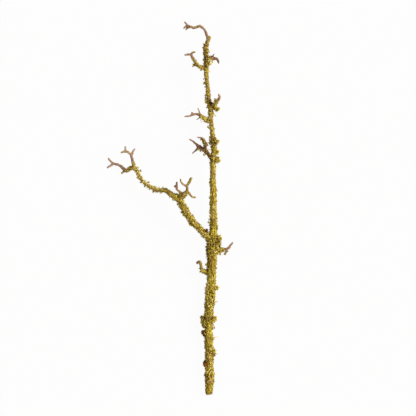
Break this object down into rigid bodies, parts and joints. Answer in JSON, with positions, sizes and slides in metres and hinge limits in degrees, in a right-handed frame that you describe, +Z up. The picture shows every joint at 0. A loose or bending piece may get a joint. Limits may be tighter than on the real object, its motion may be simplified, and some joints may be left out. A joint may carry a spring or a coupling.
{
  "type": "lichen on a twig",
  "caption": "Dead forked twig lying on its side, thickly crusted with olive yellow lichen, with short crooked spurs and bare pinkish brown tips.",
  "frame": {"origin": "middle of the twig's outline on the surface that it lies on", "axes": "+Y along the twig from the cut butt to the hooked leader, +Z up from the surface, so -X is the side that the long side branch leans to"},
  "size_m": [0.1732, 0.5014, 0.0439],
  "materials": {
    "crusted_bark": "matt, rough: twig bark fully covered by a crust of olive and mustard yellow lichen lobes with dark brown gaps",
    "thin_crust_bark": "matt: brown bark with a thinner, broken crust of yellow lichen",
    "bare_twig_bark": "matt to slightly silky: bare pinkish brown twig bark with fine wrinkles and a few specks of lichen",
    "lichen": "matt, rough: cushion of small bushy mustard yellow lichen lobes",
    "bud_scales": "slightly silky brown bud scales"
  },
  "bodies": {
    "root": {"stem_lower": "crusted_bark", "stem_middle": "crusted_bark", "stem_upper": "crusted_bark", "stem_top": "crusted_bark", "side_branch_lower": "crusted_bark", "side_branch_upper": "thin_crust_bark", "crotch_bud": "thin_crust_bark", "hook_spur": "thin_crust_bark", "upper_right_spur": "thin_crust_bark", "top_left_spur": "thin_crust_bark", "bent_leader": "bare_twig_bark", "branch_tip_left": "bare_twig_bark", "branch_tip_up": "bare_twig_bark", "antler_spur": "bare_twig_bark", "right_spur": "bare_twig_bark", "forked_spur": "bare_twig_bark", "left_spur": "bare_twig_bark", "top_right_spur": "bare_twig_bark", "lichen_collar": "lichen", "lichen_low_left": "lichen", "lichen_low_right": "lichen", "lichen_mid_right": "lichen", "lichen_fork_mass": "lichen", "lichen_fork_right": "lichen", "lichen_upper": "lichen", "lichen_spur_right": "lichen", "lichen_top_fork": "lichen", "brown_bud": "bud_scales"}
  },
  "joints": []
}
